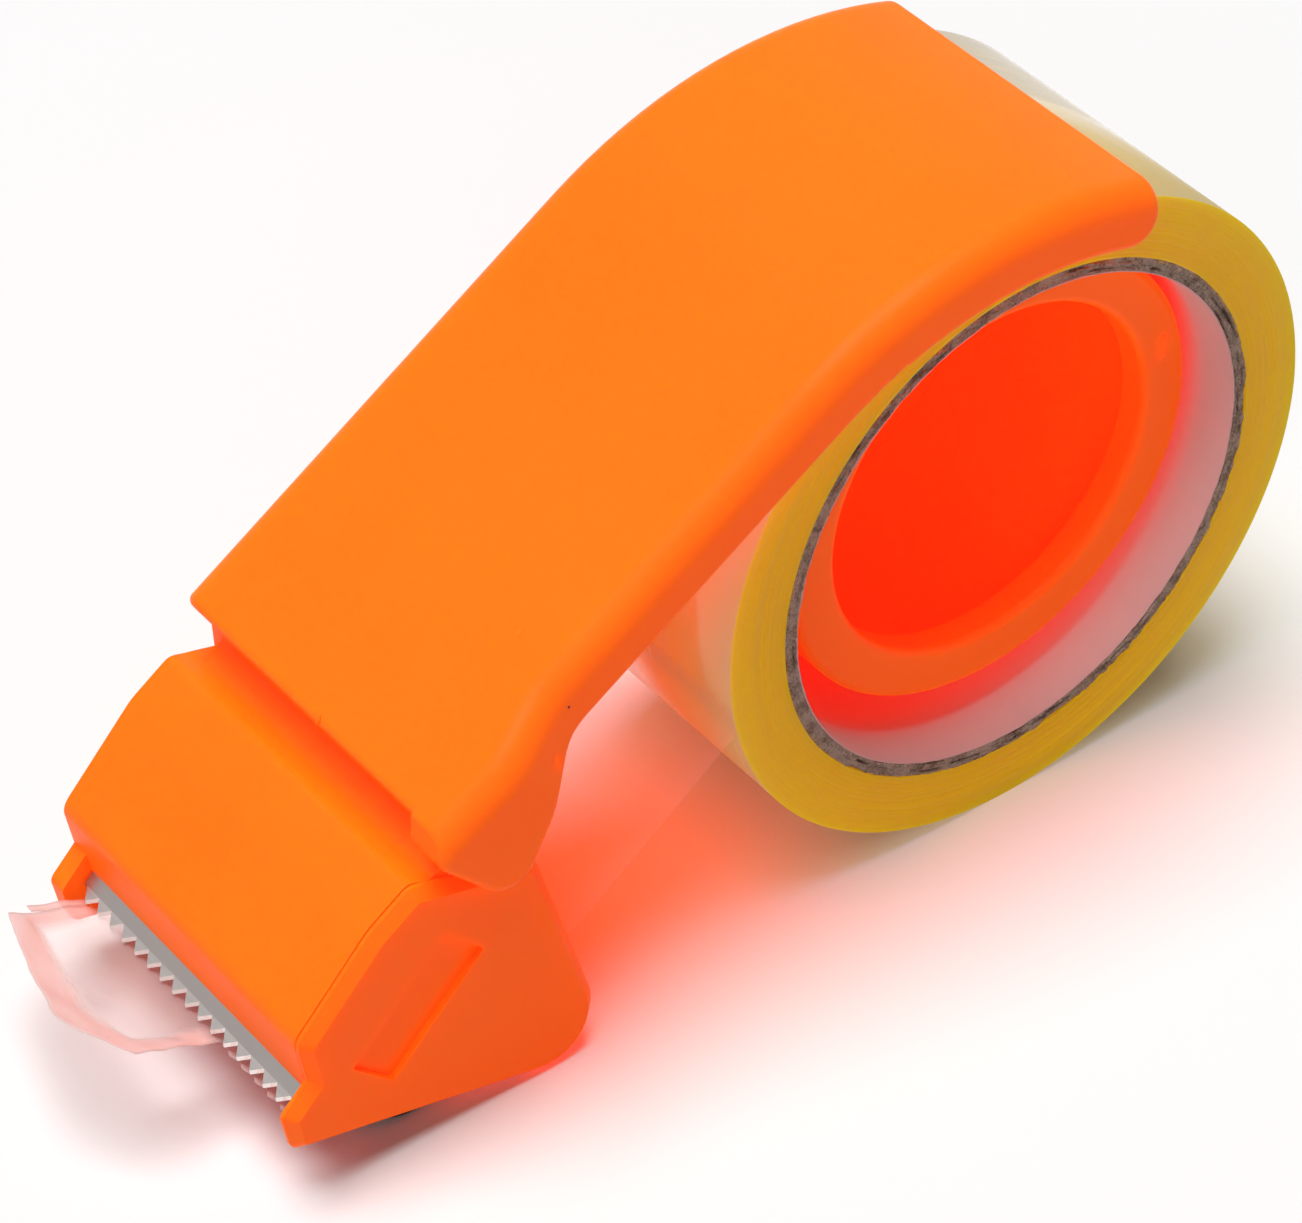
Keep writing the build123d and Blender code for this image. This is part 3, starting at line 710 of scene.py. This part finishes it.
def make_film(sizes, colours):
    """Film off the roll, round the roller, past the blade and out to the torn end, in one sheet."""
    path, blade_side = film_path(sizes)

    # Places across the tape: the torn end runs from its near edge to the notch, with its tip between them.
    near_edge, notch_edge, notch_width = -9.1 * MM, 22.6 * MM, 0.05 * MM
    tip_y = 0.3 * MM
    near_column, notch_column = 24, 72
    columns = between(-HALF_TAPE, near_edge, near_column)
    columns += between(near_edge, notch_edge, notch_column - near_column)
    columns += [notch_edge, notch_edge + notch_width, (notch_edge + HALF_TAPE) / 2, HALF_TAPE]

    # How far the torn end reaches at its near edge, at the far one and beyond the notch
    near_reach, far_reach, strip_reach = 14.0 * MM, 12.8 * MM, 9.4 * MM
    torn_depth, torn_width = 0.25 * MM, 2.2 * MM
    stub_share = 0.6

    def tail_reach(y):
        """Length of the torn end at a place across the tape."""
        if y < near_edge:
            tooth = abs((y / sizes.tooth_pitch) % 1 - 0.5)
            return 2 * sizes.tooth_depth * tooth * stub_share
        if y > notch_edge + notch_width / 5:
            return strip_reach
        reach, edge = (near_reach, near_edge) if y < tip_y else (far_reach, HALF_TAPE)
        share = (y - tip_y) / (edge - tip_y)
        torn = torn_depth * noise.noise(Vector((y / torn_width, 3.3, 0)))
        return sizes.tail_length + (reach - sizes.tail_length) * share ** 1.25 + torn

    run_haze, tail_haze = 0.1, 0.2
    vertices, haze = [], []
    for x, z in path:
        for y in columns:
            vertices.append((x, TAPE_MIDDLE + y, z))
            haze.append(run_haze)

    # The torn end is hollow in the middle and milky along its border.
    tail_rows = 30
    border_width, side_width, border_slope = 6.0 * MM, 4.5 * MM, 2.6
    clear_root = 2.5 * MM
    bowl_length = 14 * MM
    fold_depth, fold_length, fold_width = 0.35 * MM, 3 * MM, 5 * MM
    rise = (-math.cos(sizes.tail_angle), math.sin(sizes.tail_angle))
    normal = (-rise[1], rise[0])
    for row in range(tail_rows + 1):
        for y in columns:
            reach = tail_reach(y) * row / tail_rows
            border = (tail_reach(y) - reach) / border_width
            side = min(y - near_edge, HALF_TAPE - y) / side_width
            rim = max(0.0, 1 - min(border, max(side, 0)))
            bowl = sizes.tail_curl * (1 - rim) ** 2 * math.sin(math.pi * min(1, reach / bowl_length))
            crumple = noise.noise(Vector((reach / fold_length, y / fold_width, 1.7)))
            fold = fold_depth * crumple * min(1, reach / fold_length)
            lift = -bowl + fold if y >= near_edge else 0.0
            x = blade_side[0] + rise[0] * reach - normal[0] * lift
            z = blade_side[1] + rise[1] * reach - normal[1] * lift
            vertices.append((x, TAPE_MIDDLE + y, z))
            milky = min(1, border_slope * rim) * min(1, reach / clear_root)
            haze.append(tail_haze + (1 - tail_haze) * milky)

    # The torn end is parted from the stubs on the blade's teeth, so no face spans the tears.
    tears = (near_column - 1, notch_column)
    faces = [face for face in grid_faces(len(path) + tail_rows + 1, len(columns))
             if face[0] < len(path) * len(columns) or face[0] % len(columns) not in tears]
    piece = new_piece("tape_film", vertices, faces, "root",
                      ["tape_run", "tape_nose", "tape_tail"], [clear_film(colours)])
    mask = piece.data.attributes.new("haze", "FLOAT", "POINT")
    mask.data.foreach_set("value", haze)
    smooth_shade(piece)
    solid = piece.modifiers.new("Thickness", "SOLIDIFY")
    solid.thickness = sizes.film_thickness
    solid.offset = 0
    torn = sum((b - a) * (tail_reach(a) + tail_reach(b)) / 2 for a, b in zip(columns, columns[1:]))


def in_metres(lengths):
    """Lengths in metres from lengths in millimetres."""
    return [MM * part for part in lengths]


def blob(name, node, near, size, material):
    """Small flattened lump that sits on a CAD piece at the place on it nearest to a point."""
    ruffle_depth, ruffle_scale = 0.15, 1.7
    host = frame["nodes"][node]
    found, place, normal, _ = host.closest_point_on_mesh(Vector(near))
    if not found:
        raise RuntimeError(f"{name} has no place on {node}")
    bm = bmesh.new()
    bmesh.ops.create_icosphere(bm, subdivisions=3, radius=1.0)
    for vertex in bm.verts:
        ruffle = 1 + ruffle_depth * noise.noise(vertex.co * ruffle_scale)
        vertex.co = Vector(part * ruffle * extent / 2 for part, extent in zip(vertex.co, size))
    turn = normal.to_track_quat("Z", "Y").to_matrix().to_4x4()
    bmesh.ops.transform(bm, matrix=turn, verts=bm.verts)
    bmesh.ops.translate(bm, vec=place, verts=bm.verts)
    piece = new_piece(name, [], [], host["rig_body"], [], [material])
    bm.to_mesh(piece.data)
    bm.free()
    smooth_shade(piece)


class DISPENSER_OT_dress_mouldings(bpy.types.Operator):
    """Finish the moulded body, cheek and hub, with the small flaws that moulding leaves"""
    bl_idname = "dispenser.dress_mouldings"
    bl_label = "Dress Mouldings"

    def execute(self, context):
        plastic = moulded_abs(context.scene.dispenser.colours)
        for node in ("body", "near_cheek", "hub_drum"):
            dress(node, plastic)
        # Name, piece, place and size in millimetres, and finish
        flaws = (
            ("gate_mark", "hub_drum", (74.2, -16.2, 61.5), (1.5, 4.2, 0.3), plastic),
            ("lip_nib", "body", (-54.6, -1.7, 54.0), (1.0, 1.6, 0.5), plastic),
            ("plate_nib", "body", (-33.8, -16.3, 67.7), (0.7, 0.9, 0.2), plastic),
            ("flange_nib", "body", (-36.6, -28.3, 56.1), (0.6, 1.8, 0.3), plastic),
            ("flange_speck", "body", (-33.7, -26.7, 62.7), (0.45, 0.45, 0.2), dark_speck()),
        )
        for name, node, place, size, material in flaws:
            blob(name, node, in_metres(place), in_metres(size), material)
        return {"FINISHED"}


class DISPENSER_OT_make_blade(bpy.types.Operator):
    """Make the toothed steel blade"""
    bl_idname = "dispenser.make_blade"
    bl_label = "Make Blade"

    def execute(self, context):
        settings = context.scene.dispenser
        make_blade(settings.sizes, settings.colours)
        return {"FINISHED"}


class DISPENSER_OT_dress_roller(bpy.types.Operator):
    """Finish the roller's pin, tube and rubber sleeve"""
    bl_idname = "dispenser.dress_roller"
    bl_label = "Dress Roller"

    def execute(self, context):
        colours = context.scene.dispenser.colours
        dress("roller_axle", steel("Steel pin, drawn", colours.steel, 0.3, 0.45))
        # Acetal, moulded: milky, with a soft shine.
        acetal = moulded_finish("Acetal, moulded", colours.tube, 0.35, 0.5, 1.5 * MM, 0.05)
        dress("roller_core", acetal)
        # Rubber, moulded: dark and matt, with a fine tooth that holds the film.
        rubber = moulded_finish("Rubber, moulded", colours.rubber, 0.65, 0.85, 0.6 * MM, 0.3)
        dress("roller_sleeve", rubber)
        return {"FINISHED"}


class DISPENSER_OT_make_roll(bpy.types.Operator):
    """Make the cardboard core, its paper liner and the wound tape"""
    bl_idname = "dispenser.make_roll"
    bl_label = "Make Roll"

    def execute(self, context):
        settings = context.scene.dispenser
        for make in (make_core, make_liner, make_winding):
            make(settings.sizes, settings.colours)
        return {"FINISHED"}


class DISPENSER_OT_make_film(bpy.types.Operator):
    """Make the film from the roll to its torn end"""
    bl_idname = "dispenser.make_film"
    bl_label = "Make Film"

    def execute(self, context):
        settings = context.scene.dispenser
        make_film(settings.sizes, settings.colours)
        return {"FINISHED"}


class DISPENSER_OT_set_stage(bpy.types.Operator):
    """Set the floor, the soft light and the camera"""
    bl_idname = "dispenser.set_stage"
    bl_label = "Set Stage"

    def execute(self, context):
        scene = context.scene
        colours = scene.dispenser.colours
        scene.view_settings.view_transform = "Standard"
        corners = [(FLOOR_HALF * x, FLOOR_HALF * y, 0) for x, y in ((-1, -1), (1, -1), (1, 1), (-1, 1))]
        mesh = bpy.data.meshes.new("studio_floor")
        mesh.from_pydata(corners, [], [(0, 1, 2, 3)])
        mesh.materials.append(studio_floor(colours))
        floor = bpy.data.objects.new("studio_floor", mesh)
        scene.collection.objects.link(floor)

        # A broad lamp overhead, and a weaker and broader one from the head's near side
        for name, energy, spread, aim in LAMPS:
            light = bpy.data.lights.new(name, "SUN")
            light.energy = energy
            light.angle = math.radians(spread)
            lamp = bpy.data.objects.new(name, light)
            lamp.rotation_mode = "QUATERNION"
            lamp.rotation_quaternion = Vector(aim).to_track_quat("-Z", "Y")
            scene.collection.objects.link(lamp)

        world = bpy.data.worlds.new("studio_air")
        scene.world = world
        world.use_nodes = True
        tree = world.node_tree
        path = add_node(tree, "LightPath")
        looks = (path.outputs["Is Camera Ray"], path.outputs["Is Transmission Ray"])
        seen = add_node(tree, "Math", {0: looks[0], 1: looks[1]}, operation="MAXIMUM")
        glossy = add_node(tree, "Math", {0: path.outputs["Is Glossy Ray"], 1: AIR_GLOSS},
                          operation="MULTIPLY")
        mirrored = add_node(tree, "Math", {0: seen.outputs[0], 1: glossy.outputs[0]}, operation="MAXIMUM")
        level = add_node(tree, "MapRange", {"Value": mirrored.outputs[0], "To Min": AIR_LIGHT,
                                            "To Max": 1.0})
        tree.links.new(level.outputs[0], tree.nodes["Background"].inputs["Strength"])
        tree.nodes["Background"].inputs["Color"].default_value = linear("#FFFFFF")

        lens = bpy.data.cameras.new("photo_camera")
        lens.lens = CAMERA_LENS
        lens.sensor_width = CAMERA_SENSOR
        camera = bpy.data.objects.new("photo_camera", lens)
        camera.location = CAMERA_PLACE
        camera.rotation_mode = "QUATERNION"
        camera.rotation_quaternion = Vector(CAMERA_AIM).to_track_quat("-Z", "Y")
        scene.collection.objects.link(camera)
        scene.camera = camera
        return {"FINISHED"}


class DISPENSER_PT_panel(bpy.types.Panel):
    """Lists the steps and the settings"""
    bl_idname = "DISPENSER_PT_panel"
    bl_label = "Tape Dispenser"
    bl_space_type = "VIEW_3D"
    bl_region_type = "UI"
    bl_category = "Dispenser"

    def draw(self, context):
        for step in STEPS:
            self.layout.operator(step.bl_idname)
        settings = context.scene.dispenser
        for group in (settings.colours, settings.sizes):
            box = self.layout.box()
            for name in group.__annotations__:
                box.prop(group, name)


STEPS = (
    DISPENSER_OT_dress_mouldings,
    DISPENSER_OT_make_blade,
    DISPENSER_OT_dress_roller,
    DISPENSER_OT_make_roll,
    DISPENSER_OT_make_film,
    DISPENSER_OT_set_stage,
)
CLASSES = (DispenserColours, DispenserSizes, DispenserSettings, *STEPS, DISPENSER_PT_panel)


def register():
    for kind in CLASSES:
        bpy.utils.register_class(kind)
    bpy.types.Scene.dispenser = PointerProperty(type=DispenserSettings)


def unregister():
    del bpy.types.Scene.dispenser
    for kind in reversed(CLASSES):
        bpy.utils.unregister_class(kind)


def main():
    register()
    bpy.ops.dispenser.dress_mouldings()
    bpy.ops.dispenser.make_blade()
    bpy.ops.dispenser.dress_roller()
    bpy.ops.dispenser.make_roll()
    bpy.ops.dispenser.make_film()
    bpy.ops.dispenser.set_stage()


if __name__ == "__main__":
    main()
